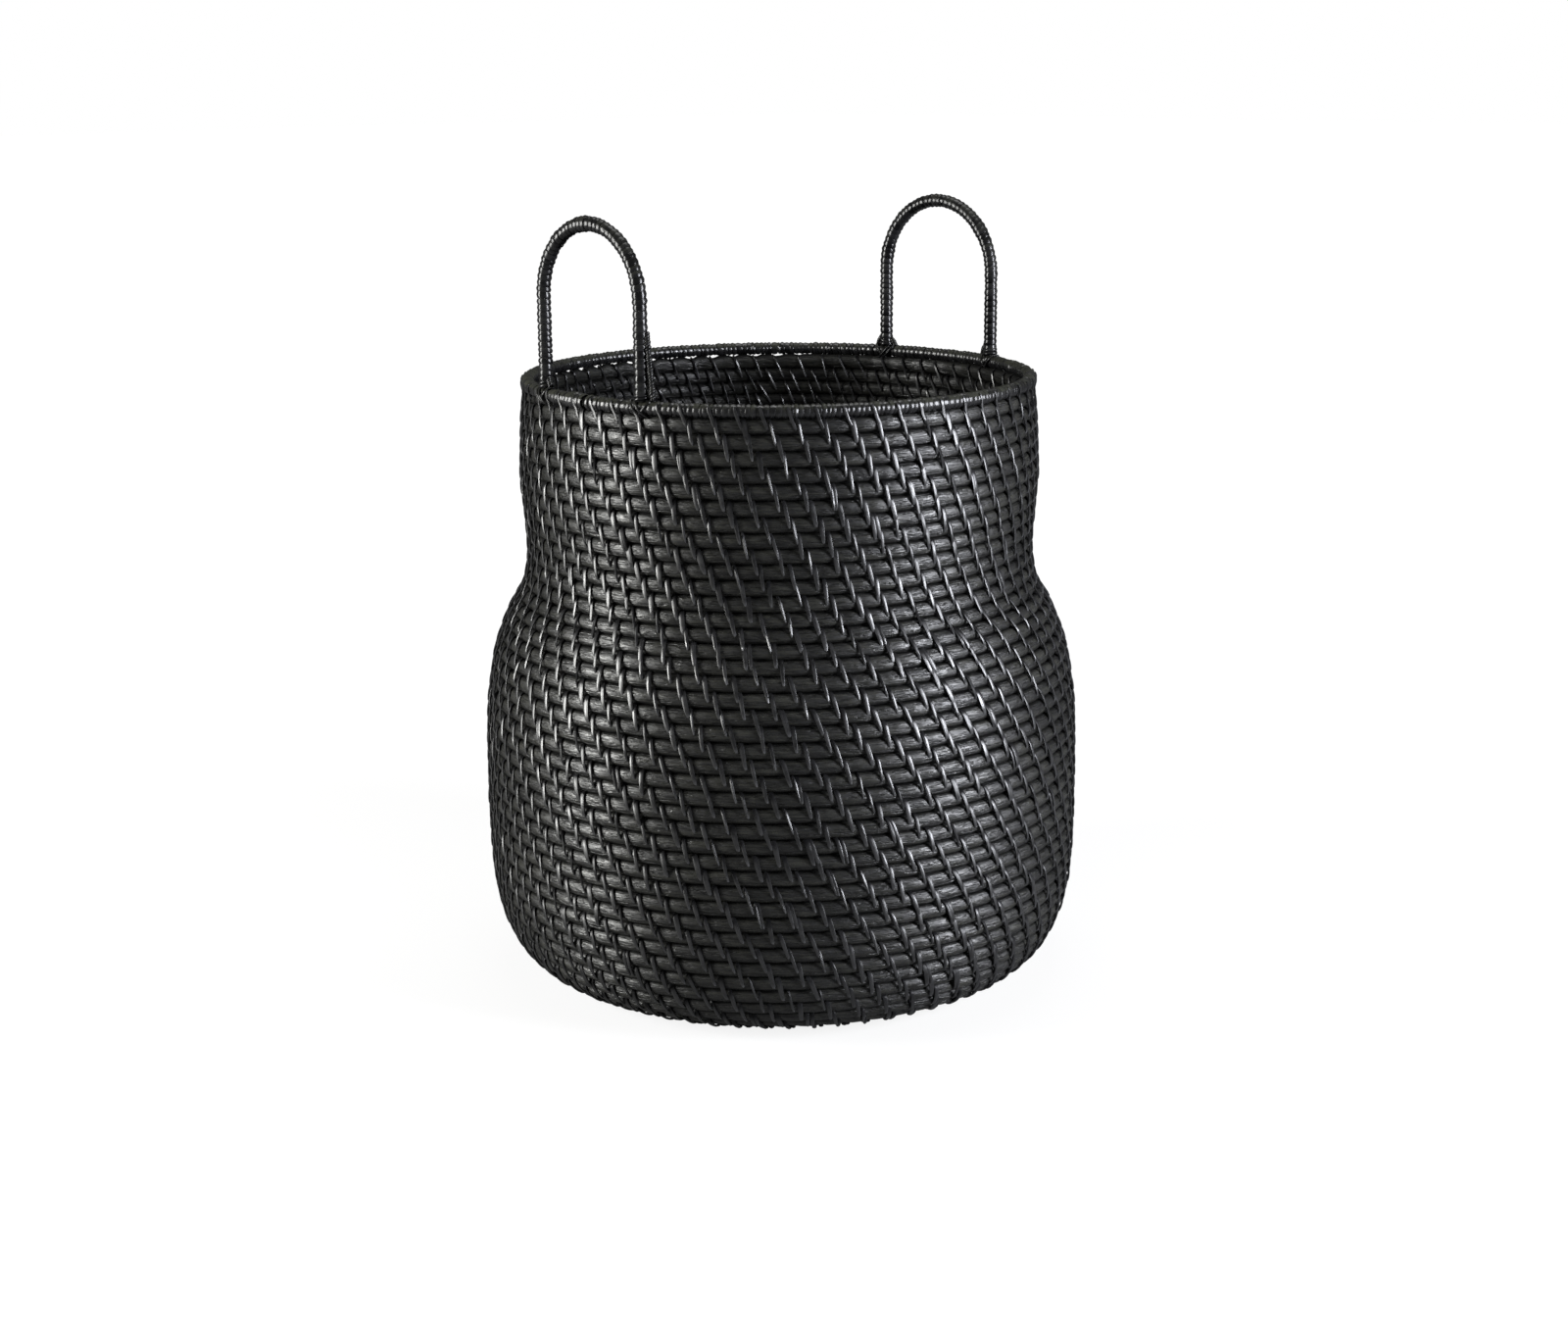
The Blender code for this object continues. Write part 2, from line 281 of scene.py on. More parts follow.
def mixColor(tree, share, first, second):
    # the Mix node has several inputs of one name, so its colours go by number
    return addNode(tree, "ShaderNodeMix", {"data_type": "RGBA"}, {0: share, 6: first, 7: second}, 2)


matteLook = {"rough": 0.9, "shine": 0.1}


def mixMatte(tree, shader, share, color):
    # shows a matte surface of this colour instead of the shader, by this share
    inputs = {"Base Color": color, "Roughness": matteLook["rough"], "Specular IOR Level": matteLook["shine"]}
    matte = addNode(tree, "ShaderNodeBsdfPrincipled", None, inputs)
    both = (share, Sock(tree, shader.outputs[0]), matte)
    showSurface(tree, addNode(tree, "ShaderNodeMixShader", None, both))


def readValue(tree, name):
    return addNode(tree, "ShaderNodeAttribute", {"attribute_name": name}, (), "Fac")


def readFibre(tree):
    # metres along the fibre, metres across it, and the tone, which is one number for each rod, strip or wrap
    uv = addNode(tree, "ShaderNodeUVMap", {"uv_map": "fibre"})
    along = addNode(tree, "ShaderNodeSeparateXYZ", None, (uv,))
    return along, along.output(1), readValue(tree, "tone")


def streaks(tree, fibre, look, name):
    # noise drawn out along the fibres
    along, across, tone = fibre
    shift, alongScale, acrossScale, detail = look[name]
    place = addNode(tree, "ShaderNodeCombineXYZ", None,
                    (along * alongScale, across * acrossScale, tone * look["toneShift"] + shift))
    return addNode(tree, "ShaderNodeTexNoise", None, {"Vector": place, "Scale": 1.0, "Detail": detail})


def addBump(tree, look, height):
    inputs = {"Strength": look["bump"], "Distance": look["bumpDepth"], "Height": height}
    return addNode(tree, "ShaderNodeBump", None, inputs)


reedLook = {
    "dark": (0.0025, 0.0025, 0.0025, 1), "light": (0.030, 0.030, 0.025, 1), "shine": 0.66,
    "roughLow": 0.27, "roughHigh": 0.54, "bump": 1.0, "bumpDepth": 0.75 * mm,
    # the flanks and the inside of a rod, between rows and inside the basket: where they turn matte, how
    # matte, and how much painted shade darkens them
    "shadedFlankRange": (0.58, 0.95), "dullShare": 0.86, "paintedFlankShade": 0.7,
    # noises: shift, waves a metre along and across the fibres, detail
    "toneShift": 40, "fibres": (0, 110, 1350, 3), "cracks": (7, 80, 800, 2), "specks": (19, 300, 1500, 2),
    "patches": (31, 25, 120, 2),
    # what each noise gives to the grain, lightness, roughness and relief, and the range that is stretched
    "grainShares": (0.6, 0.4), "lightShares": (0.7, 0.3), "roughShares": (0.6, 0.4),
    "reliefShares": (0.5, 0.3, 0.5),
    "crackRange": (0.34, 0.50), "lightRange": (0.43, 0.60), "roughRange": (0.38, 0.62), "crackShade": 0.8,
}


def reedMaterial():
    look = reedLook
    material, tree, shader = newMaterial("blackenedReed")
    fibre = readFibre(tree)
    names = ("fibres", "cracks", "specks", "patches")
    fibres, cracks, specks, patches = [streaks(tree, fibre, look, name) for name in names]
    grain = weigh((fibres, specks), look["grainShares"])
    groove = remap(tree, cracks, look["crackRange"])
    shadedMatteFlank = remap(tree, readValue(tree, "around"), look["shadedFlankRange"])
    lightness = remap(tree, weigh((grain, patches), look["lightShares"]), look["lightRange"])
    lightness = lightness * (groove * look["crackShade"] + (1 - look["crackShade"]))
    # painted shade: darker on the flanks between the rows and on the inside of the wall
    lightness = lightness * (1 - shadedMatteFlank * look["paintedFlankShade"])
    color = mixColor(tree, lightness, look["dark"], look["light"])
    rough = remap(tree, weigh((specks, fibres), look["roughShares"]), look["roughRange"],
                  (look["roughHigh"], look["roughLow"]))
    relief = weigh((fibres, specks, groove), look["reliefShares"])
    fillInputs(tree, shader, {"Base Color": color, "Roughness": rough, "Specular IOR Level": look["shine"],
                              "Normal": addBump(tree, look, relief)})
    mixMatte(tree, shader, shadedMatteFlank * look["dullShare"], color)
    return material


caneLook = {
    "dark": (0.0025, 0.0025, 0.003, 1), "light": (0.014, 0.014, 0.015, 1), "bump": 0.5, "bumpDepth": 0.2 * mm,
    # the least and most roughness, the reflection's share and the IOR of each kind
    "sewn": (0.25, 0.42, 1.0, 1.52), "wound": (0.20, 0.34, 0.75, 1.5), "held": (0.16, 0.26, 0.45, 1.5),
    # wear from hands and painted light from above on the tops: their pale colour, how far up they face, how
    # unevenly they are rubbed
    "wornAndLitTop": (0.035, 0.036, 0.027, 1), "upRange": (0.05, 0.65), "wearAndTopLightRange": (0.25, 0.70), "leastWearAndTopLight": 0.1,
    # a stitch: how matte its top is, and the painted highlight colour of its lower end
    "topShare": 0.9, "paintedEndHighlight": (0.075, 0.075, 0.078, 1),
    # noises, what each gives, and the range that is stretched, as for the reed
    "toneShift": 60, "lines": (0, 60, 2600, 2), "cloud": (11, 180, 400, 2),
    "lightShares": (0.5, 0.2, 0.3), "roughShares": (0.6, 0.4), "wearAndTopLightShares": (0.5, 0.5),
    "lightRange": (0.32, 0.68), "roughRange": (0.36, 0.64),
}


def caneMaterial(name, kind, wearAndTopLightShare=0):
    # glossy peel; where it faces up, its top is matte and pale, partly wear from hands and partly painted
    # light from above
    look = caneLook
    material, tree, shader = newMaterial(name)
    fibre = readFibre(tree)
    tone = fibre[2]
    lines = streaks(tree, fibre, look, "lines")
    cloud = streaks(tree, fibre, look, "cloud")
    lightness = remap(tree, weigh((lines, cloud, tone), look["lightShares"]), look["lightRange"])
    color = mixColor(tree, lightness, look["dark"], look["light"])
    smooth, coarse, shine, ior = look[kind]
    rough = remap(tree, weigh((cloud, lines), look["roughShares"]), look["roughRange"], (smooth, coarse))
    if wearAndTopLightShare:
        # wear and painted top light: pale and matte where the surface faces up
        normal = addNode(tree, "ShaderNodeNewGeometry", None, (), "True Normal")
        upward = remap(tree, addNode(tree, "ShaderNodeSeparateXYZ", None, (normal,), 2), look["upRange"])
        uneven = weigh((cloud, tone), look["wearAndTopLightShares"])
        uneven = remap(tree, uneven, look["wearAndTopLightRange"], (look["leastWearAndTopLight"], 1))
        matteShare = upward * uneven * wearAndTopLightShare
        color = mixColor(tree, matteShare, color, look["wornAndLitTop"])
    else:
        # the shade is 1 at the top of a stitch and -1 at its lower end, where a painted highlight is mixed in
        shade = readValue(tree, "shade")
        matteShare = remap(tree, shade, (0, 1), (0, look["topShare"]))
        color = mixColor(tree, remap(tree, shade, (-1, 0), (1, 0)), color, look["paintedEndHighlight"])
    fillInputs(tree, shader, {"Base Color": color, "Roughness": rough, "Specular IOR Level": shine,
                              "IOR": ior, "Normal": addBump(tree, look, lines)})
    mixMatte(tree, shader, matteShare, color)
    return material


reed = reedMaterial()
cane = caneMaterial("blackenedCane", "sewn")
rimCane = caneMaterial("wornLitTopCane", "wound", 0.85)
handleCane = caneMaterial("handleCane", "held", 0.5)


# making meshes

def deselectAll():
    if bpy.context.object and bpy.context.object.mode != "OBJECT":
        bpy.ops.object.mode_set(mode="OBJECT")
    bpy.ops.object.select_all(action="DESELECT")


def readPoints(piece):
    points = np.empty(len(piece.data.vertices) * 3)
    piece.data.vertices.foreach_get("co", points)
    return points.reshape(-1, 3)


def writePoints(piece, points):
    piece.data.vertices.foreach_set("co", points.ravel())
    piece.data.update()


def addValue(piece, name, values):
    layer = piece.data.attributes.new(name, "FLOAT", "POINT")
    layer.data.foreach_set("value", values.astype(np.float32))


def addTones(piece, draw, copies, corners):
    # a tone of its own for each copy in a row
    addValue(piece, "tone", np.repeat(draw.uniform(0, 1, copies), corners))


def finishPiece(piece, name, material, node, smoothAngle=None):
    # the piece is the active one; its faces are turned outwards, because laying it in place can mirror it
    bpy.ops.object.mode_set(mode="EDIT")
    bpy.ops.mesh.select_all(action="SELECT")
    bpy.ops.mesh.normals_make_consistent(inside=False)
    bpy.ops.object.mode_set(mode="OBJECT")
    piece.name = name
    piece.data.name = name
    piece.data.materials.clear()
    piece.data.materials.append(material)
    piece.data.shade_smooth()
    if smoothAngle:
        piece.data.set_sharp_from_angle(angle=smoothAngle)
    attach(piece, "root")
    if node:
        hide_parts(node)


# the rods of the coil: a flat grid rolled into a tube and laid along the coil

rodLook = {
    "pointsPerTurn": 300, "leastSteps": 8, "sides": 12, "sharp": math.radians(60), "mergeUnder": 0.01 * mm,
    "halfDepth": 4.5 * mm, "roundness": 2.05, "overlap": 0.30 * mm,
    # the first turn is filled in to the middle, and the fill ends in this share of a turn
    "eyeOver": 0.3 * mm, "eyeFade": 0.03,
    # how matte the inside of the wall is, and how much painted shade darkens it, against the flanks
    "insideShadedMatte": 0.80,
    # each stitch pulls the rod in by this much, this far past the stitch
    "pinch": 0.17, "pinchLag": 0.08, "pinchPower": 4, "pinchWidth": 0.2,
    # unevenness, and its waves: length in turns, seed
    "swell": 0.04, "swellWave": (0.11, 5), "wander": 0.22 * mm, "wanderWave": (0.07, 3),
    # between two rods, at this radius of the wall
    "jointGap": 0.08 * mm, "jointRadius": 150 * mm, "cutSamples": 4000,
    # the top row: slots in this part of the turn, how deep, where between two stitches, how wide and uneven
    "thinFrom": 0.595, "thinTo": 0.80, "thinOver": 0.03, "thinShare": 0.24, "thinPhase": 0.55,
    "thinWide": 0.34, "thinVary": 0.25, "thinWave": (0.031, 9),
    # the top row lies higher, is a little thinner at the front and tapers away at its end
    "topRise": 0.3 * mm, "frontFrom": -0.12, "frontTo": 0.38, "frontShare": 0.05,
    "leastWidth": 0.12, "leastDepth": 0.2,
}


def rodShape(turns):
    # distance along the wall, half width and half depth of the rod at each place of the coil
    look = rodLook
    top = turns - coilTurns
    opening = ease((top - look["thinFrom"]) / look["thinOver"])
    closing = ease((top - look["thinTo"]) / look["thinOver"])
    nearest = np.searchsorted(stitchPlaces, turns).clip(1, len(stitchPlaces) - 1)
    low, high = stitchPlaces[nearest - 1], stitchPlaces[nearest]
    phase = (turns - low) / (high - low)
    slot = ease(1.5 - np.abs(phase - look["thinPhase"]) / look["thinWide"] * 2)
    slot = slot * (1 - look["thinVary"] + look["thinVary"] * smoothNoise(turns, *look["thinWave"]))
    thin = look["thinShare"] * (opening - closing) * slot
    front = ease((look["frontTo"] - top) / look["thinOver"])
    front = front + ease((top - 1 - look["frontFrom"]) / look["thinOver"])
    thin = thin + look["frontShare"] * np.where(top >= 0, front, 0)
    late = ease((top - 1 + coil["stepShare"]) / coil["stepShare"])
    late = np.where(top >= 0, late, 0)
    rise = np.where((top >= 0) & (late <= 0), look["topRise"], 0)
    near = 0.5 + 0.5 * np.cos(turn * (phase - look["pinchLag"]))
    pinch = 1 - look["pinch"] * near ** look["pinchPower"]
    swell = 1 + look["swell"] * smoothNoise(turns, *look["swellWave"])
    fullWidth = (pitch + look["overlap"]) / 2
    width = fullWidth * np.maximum(1 - thin - late, look["leastWidth"])
    width = (width + rise / 2) * pinch ** look["pinchWidth"]
    depth = look["halfDepth"] * pinch * swell * np.where(top > 0, np.maximum(1 - late, look["leastDepth"]), 1)
    reach = rowReach(turns) + rise / 2 - np.where(late > 0, 0, fullWidth * thin)
    reach = reach + look["wander"] * smoothNoise(turns, *look["wanderWave"])
    eye = (coil["eyeRadius"] + pitch * turns + look["eyeOver"]) * (1 - ease((turns - 1) / look["eyeFade"]))
    return reach - eye / 2, width + eye / 2, depth


def makeRod(name, firstTurn, lastTurn, node):
    def place(along, around):
        turns = firstTurn + (lastTurn - firstTurn) * along
        reach, halfWidth, halfDepth = rodShape(turns)
        power = 2 / rodLook["roundness"]
        outward = halfDepth * np.sign(np.cos(around)) * np.abs(np.cos(around)) ** power
        upward = halfWidth * np.sign(np.sin(around)) * np.abs(np.sin(around)) ** power
        return onWall(angleAt(turns), reach + upward, outward)

    middle = float(rowReach((firstTurn + lastTurn) / 2))
    length = float(np.interp(middle, lineReach, lineRadius)) * turn * (lastTurn - firstTurn)
    steps = max(rodLook["leastSteps"], round((lastTurn - firstTurn) * rodLook["pointsPerTurn"]))
    rollTube(name, steps, place, length, turn * rodLook["halfDepth"], node)


def rollTube(name, steps, place, length, girth, node):
    # place gives the points for the share along the tube and the angle round it
    deselectAll()
    bpy.ops.mesh.primitive_grid_add(x_subdivisions=steps, y_subdivisions=rodLook["sides"], size=2)
    rod = bpy.context.object
    flat = readPoints(rod)
    around = turn * (flat[:, 1] + 1) / 2
    writePoints(rod, place((flat[:, 0] + 1) / 2, -around))
    scaleFibres(rod, length, girth)
    addValue(rod, "tone", np.full(len(flat), dice.random()))
    # the mask of flanks and inside, which the reed turns matte and darkens with painted shade
    addValue(rod, "around", np.maximum(np.abs(np.sin(around)), -rodLook["insideShadedMatte"] * np.cos(around)))
    bpy.ops.object.mode_set(mode="EDIT")
    bpy.ops.mesh.select_all(action="SELECT")
    bpy.ops.mesh.remove_doubles(threshold=rodLook["mergeUnder"])
    bpy.ops.mesh.select_all(action="DESELECT")
    bpy.ops.mesh.select_non_manifold()
    bpy.ops.mesh.fill_holes(sides=0)
    finishPiece(rod, name, reed, node, rodLook["sharp"])


def scaleFibres(piece, length, width):
    # the grid's own UV, stretched to metres
    layer = piece.data.uv_layers[0]
    layer.name = "fibre"
    values = np.empty(len(layer.data) * 2, np.float32)
    layer.data.foreach_get("uv", values)
    values = values.reshape(-1, 2) * (length, width)
    layer.data.foreach_set("uv", values.astype(np.float32).ravel())


def rodCuts(first, last, count):
    # rods of equal length between two places of the coil
    turns = np.linspace(first, last, rodLook["cutSamples"])
    radius = np.interp(rowReach(turns), lineReach, lineRadius)
    length = np.concatenate([[0], np.cumsum((radius[1:] + radius[:-1]) / 2 * np.diff(turns))])
    return np.interp(np.linspace(0, length[-1], count + 1), length, turns)


searched = np.linspace(0, 20, 2001)  # turns among which the base ends
baseTurns = float(np.interp(wall["baseRadius"] - pitch / 2, rowReach(searched), searched))
baseCuts = rodCuts(0, baseTurns, coil["baseRods"])
wallCuts = rodCuts(baseTurns, coilTurns + coil["rodPast"], coil["wallRods"])
gap = rodLook["jointGap"] / 2 / (turn * rodLook["jointRadius"])
for kind, cuts in (("base", baseCuts), ("wall", wallCuts)):
    for number, (low, high) in enumerate(zip(cuts, cuts[1:]), start=1):
        name = "{}Rod{:02d}".format(kind, number)
        makeRod(name, low + gap, high - gap, "{}_rod_{:02d}".format(kind, number))
print("rods laid")


# strips and wraps of peel: one is shaped, copied in a row, and each copy is set at its place

stripLook = {
    "corners": 6, "sharp": math.radians(43),
    "side": 0.72,  # how far out the sides of a section stand, in half widths
}
wrapLook = {
    "sides": 4, "sharp": math.radians(50), "fibreLean": 0.01,
    "edge": 0.04,  # how far the edges stand out, in thicknesses
    "mostStep": 1.5, "mostRadial": 2,  # limits of the unevenness, in deviations
}


def drawStrip(path, widths, thickness):
    # a disc drawn out through the (out, up) places of a path; six corners a section, and both ends closed
    corners = stripLook["corners"]
    deselectAll()
    bpy.ops.mesh.primitive_circle_add(vertices=corners, radius=1, fill_type="NGON")
    strip = bpy.context.object
    ring = readPoints(strip)
    ring[:, 0] = np.sign(ring[:, 0]) * stripLook["side"]
    writePoints(strip, ring)
    places = [Vector((0, out, up)) for out, up in path]
    bpy.ops.object.mode_set(mode="EDIT")
    bpy.ops.mesh.select_all(action="SELECT")
    bpy.ops.transform.resize(value=(widths[0] / 2, thickness / 2, 1))
    heading = math.pi / 2
    here = Vector((0, 0, 0))
    for number, place in enumerate(places):
        before = places[max(number - 1, 0)]
        after = places[min(number + 1, len(places) - 1)]
        wanted = math.atan2(after.z - before.z, after.y - before.y)
        if number:
            bpy.ops.mesh.extrude_region_move()
            bpy.ops.transform.resize(value=(widths[number] / widths[number - 1], 1, 1), center_override=here)
        bpy.ops.transform.rotate(value=heading - wanted, orient_axis="X", center_override=here)
        bpy.ops.transform.translate(value=place - here)
        heading = wanted
        here = place
    bpy.ops.object.mode_set(mode="OBJECT")
    reach = [0]
    for low, high in zip(places, places[1:]):
        reach.append(reach[-1] + (high - low).length)
    around = np.arange(corners) / corners
    layFibres(strip, np.repeat(reach, corners), np.tile(around, len(places)) * max(widths) * 2)
    return strip


def drawWrap(radius, width, thickness, segments):
    # one closed turn of peel round the Z axis
    deselectAll()
    bpy.ops.mesh.primitive_torus_add(major_segments=segments, minor_segments=wrapLook["sides"],
                                     major_radius=radius, minor_radius=thickness / 2)
    wrap = bpy.context.object
    bpy.ops.object.mode_set(mode="EDIT")
    bpy.ops.mesh.select_all(action="SELECT")
    bpy.ops.transform.resize(value=(1, 1, width / thickness))
    bpy.ops.object.mode_set(mode="OBJECT")
    wrap.data.vertices.foreach_set("select", np.abs(readPoints(wrap)[:, 2]) > width / 4)
    bpy.ops.object.mode_set(mode="EDIT")
    outer = 1 + wrapLook["edge"] * thickness / radius
    bpy.ops.transform.resize(value=(outer, outer, 1), center_override=(0, 0, 0))
    bpy.ops.object.mode_set(mode="OBJECT")
    x, y, z = readPoints(wrap).T
    layFibres(wrap, np.arctan2(y, x) * radius, z + x * wrapLook["fibreLean"])
    return wrap


def layFibres(piece, along, across):
    # the piece's own UV: metres along the peel and across it
    for layer in list(piece.data.uv_layers):
        piece.data.uv_layers.remove(layer)
    layer = piece.data.uv_layers.new(name="fibre")
    corners = np.empty(len(piece.data.loops), np.int32)
    piece.data.loops.foreach_get("vertex_index", corners)
    values = np.stack([along[corners], across[corners]], 1).astype(np.float32)
    layer.data.foreach_set("uv", values.ravel())


def copyRow(piece, count):
    # the same shape count times in one mesh; gives the points of one copy
    single = readPoints(piece)
    deselectAll()
    piece.select_set(True)
    bpy.context.view_layer.objects.active = piece
    row = piece.modifiers.new("row", "ARRAY")
    row.count = count
    row.use_relative_offset = True
    bpy.ops.object.modifier_apply(modifier="row")
    return single


def windSteps(look, draw, length, start=0):
    # wraps side by side along a length: their middles, how wide each one is and how far out it stands
    steps = draw.normal(0, 1, round(length / look["pitch"])).clip(-wrapLook["mostStep"], wrapLook["mostStep"])
    steps = 1 + look["stepJitter"] * steps
    centres = start + (np.cumsum(steps) - steps / 2) * length / steps.sum()
    radial = draw.normal(0, 1, len(steps)).clip(-wrapLook["mostRadial"], wrapLook["mostRadial"])
    return centres, steps, 1 + look["radialJitter"] * radial


def windPeel(look, draw, centres, widen, radial, onPath):
    wrap = drawWrap(look["tube"], look["width"], look["thickness"], look["segments"])
    tilts = look["tilt"] + look["tiltJitter"] * draw.normal(0, 1, len(centres))
    wrapAlong(wrap, draw, centres, widen, radial, tilts, onPath)
    return wrap


def wrapAlong(wrap, draw, centres, widen, radial, tilts, onPath):
    # each copy of the wrap is set at its distance along a path; onPath gives the point for (along, x, y)
    single = copyRow(wrap, len(centres))
    x, y, z = single.T
    along = centres[:, None] + z * widen[:, None] + y * tilts[:, None]
    points = onPath(along, x * radial[:, None], y * radial[:, None])
    writePoints(wrap, points.reshape(-1, 3))
    addTones(wrap, draw, len(centres), len(single))


# the stitches, outside and inside

stitchLook = {
    "width": 3.7 * mm, "thickness": 1.6 * mm, "perPiece": 1100, "seed": 100, "insideSeed": 110,
    "placeJitter": 0.7 * mm, "slantJitter": 0.24, "widthJitter": 0.2, "widthRange": (0.6, 1.4),
    "liftJitter": 0.18 * mm, "heightJitter": 0.25 * mm,
    # the first ones, in the middle of the base, are left out; some of the outer ones are doubled on the wall
    "leftOut": 4, "doubledShare": 0.06, "doubledGap": 2.0 * mm, "doubledBeyond": 100 * mm, "doubledSeed": 21,
    # where they stand close, the shift has this share of the space at most, and they grow narrow
    "leastRadius": 4 * mm, "mostShift": 0.5, "roomyFrom": 9 * mm, "leastNarrow": 0.45,
    # an inside stitch starts at this share of the shift and runs on to the hole of the next row
    "insideStart": 0.8, "insideRun": 7.5 * mm, "mostInsideRun": 0.6,
    # up the wall in rows, out of the middle line in half depths of the rod, width share, slant share, shade
    # (at -1 a painted highlight)
    "outsideShares": (
        (0.50, 0.10, 0.80, -0.20, 1), (0.47, 0.56, 0.98, -0.14, 1), (0.36, 0.80, 1.02, -0.04, 0.8),
        (0.08, 1.00, 0.98, 0.11, 0.3), (-0.28, 1.10, 0.94, 0.25, 0), (-0.60, 1.13, 0.84, 0.38, 0),
        (-0.85, 1.10, 0.74, 0.48, -0.3), (-1.02, 0.96, 0.56, 0.56, -0.8), (-1.10, 0.50, 0.40, 0.60, -1)),
    "insideShares": (
        (-1.06, -0.50, 0.36, 0.00, -1), (-1.02, -0.84, 0.46, 0.04, -1), (-0.90, -1.03, 0.56, 0.12, -1),
        (-0.60, -1.12, 0.64, 0.29, -0.6), (-0.10, -1.14, 0.66, 0.60, 0.1), (0.24, -1.07, 0.62, 0.82, 0.6),
        (0.41, -0.86, 0.54, 0.94, 1), (0.49, -0.40, 0.45, 1.00, 1)),
}


def sewStitches(name, shares, places, counts, inside, seed):
    # each stitch is a copy of one strip, set at its place in the coil and slanted along its own shift
    look = stitchLook
    ups, outs, widths, slants, shades = zip(*shares)
    path = [(out * rodLook["halfDepth"], up * pitch) for up, out in zip(ups, outs)]
    strip = drawStrip(path, [width * look["width"] for width in widths], look["thickness"])
    single = copyRow(strip, len(places))
    x, y, z = single.T
    slants = np.repeat(slants, stripLook["corners"])
    count = len(places)
    reach = rowReach(places)
    radius = np.maximum(np.interp(reach, lineReach, lineRadius), look["leastRadius"])
    spacing = turn * radius / counts
    shift = np.minimum(stitchShift(radius), spacing * look["mostShift"])
    narrow = np.clip(spacing / look["roomyFrom"], look["leastNarrow"], 1)
    draw = seeded(seed)
    place = draw.normal(0, look["placeJitter"], count) * narrow
    lean = 1 + draw.normal(0, look["slantJitter"], count)
    wide = np.clip(1 + draw.normal(0, look["widthJitter"], count), *look["widthRange"]) * narrow
    lift = draw.normal(0, look["liftJitter"], count)
    start, run, side = 0, shift, 1
    if inside:
        start = shift * look["insideStart"]
        run = np.minimum(look["insideRun"], spacing * look["mostInsideRun"])
        side = -1
    across = (place + start)[:, None] + x * wide[:, None] + slants * (run * lean)[:, None]
    out = y + side * np.abs(lift[:, None]) * np.minimum(1, np.abs(y) / rodLook["halfDepth"])
    up = z + draw.normal(0, look["heightJitter"], count)[:, None]
    angle = angleAt(places)[:, None] + across / radius[:, None]
    points = onWall(angle, reach[:, None] + up, out)
    points[..., 2] = np.maximum(points[..., 2], 0)
    writePoints(strip, points.reshape(-1, 3))
    addTones(strip, draw, count, len(single))
    addValue(strip, "shade", np.tile(np.repeat(shades, stripLook["corners"]), count))
    finishPiece(strip, name, cane, None, stripLook["sharp"])


def sewAll():
    look = stitchLook
    places = stitchPlaces[look["leftOut"]:]
    counts = np.array([count for at, count in stitches[look["leftOut"]:]], float)
    radius = np.interp(rowReach(places), lineReach, lineRadius)
    doubled = seeded(look["doubledSeed"]).uniform(0, 1, len(places)) < look["doubledShare"]
    doubled = doubled & (radius > look["doubledBeyond"])
    extra = places + look["doubledGap"] / (turn * radius)
    outPlaces = np.concatenate([places, extra[doubled]])
    outCounts = np.concatenate([counts, counts[doubled]])
    order = np.argsort(outPlaces)
    outPlaces, outCounts = outPlaces[order], outCounts[order]
    for kind, shares, where, many, inside, seed in (
            ("outer", look["outsideShares"], outPlaces, outCounts, False, look["seed"]),
            ("inner", look["insideShares"], places, counts, True, look["insideSeed"])):
        parts = math.ceil(len(where) / look["perPiece"])
        for number in range(parts):
            part = slice(number * len(where) // parts, (number + 1) * len(where) // parts)
            name = "{}Stitches{}".format(kind, number + 1)
            sewStitches(name, shares, where[part], many[part], inside, seed + number)
    print("stitches sewn:", len(outPlaces), "outside,", len(places), "inside")


sewAll()


# the rim: peel wound round the rim rod, with one longer stitch at each stitch place down over the top row

rimLook = {
    "tube": 4.0 * mm, "pitch": 3.7 * mm, "width": 3.6 * mm, "thickness": 1.15 * mm, "segments": 14,
    "seed": 31, "stepJitter": 0.22, "radialJitter": 0.035, "tilt": 0.10, "tiltJitter": 0.05,
    "rodRadius": 3.3 * mm, "rodGap": 1.2 * mm, "rodSteps": 360,
    # the peel's two ends: the bump over the one, and the loose and narrow turns of the other
    "spliceGap": 3.2 * mm, "bump": 0.28, "bumpLength": 15 * mm, "looseLength": 34 * mm, "loose": 0.06,
    "looseNarrow": 0.16,
}


def rimFrame(along, out, up):
    angle = coil["spliceAngle"] + along / rimRadius
    radius = rimRadius + out
    return np.stack([radius * np.cos(angle), radius * np.sin(angle), rimHeight + up + 0 * angle], -1)


def makeRimRod():
    def place(along, around):
        where = rimLook["rodGap"] / 2 + (turn * rimRadius - rimLook["rodGap"]) * along
        return rimFrame(where, rimLook["rodRadius"] * np.cos(around), rimLook["rodRadius"] * np.sin(around))

    rollTube("rimRod", rimLook["rodSteps"], place, turn * rimRadius, turn * rimLook["rodRadius"], "rim_rod")


def makeRim():
    look = rimLook
    length = turn * rimRadius - look["spliceGap"]
    draw = seeded(look["seed"])
    centres, steps, radial = windSteps(look, draw, length, look["spliceGap"] / 2)
    toEnd = length - centres
    radial += look["bump"] * ease(1 - np.abs(toEnd - look["bumpLength"] / 2) / look["bumpLength"])
    loose = ease(1 - centres / look["looseLength"])
    radial += look["loose"] * loose
    wrap = windPeel(look, draw, centres, steps * (1 - look["looseNarrow"] * loose), radial, rimFrame)
    finishPiece(wrap, "rimBinding", rimCane, "rim_binding", wrapLook["sharp"])


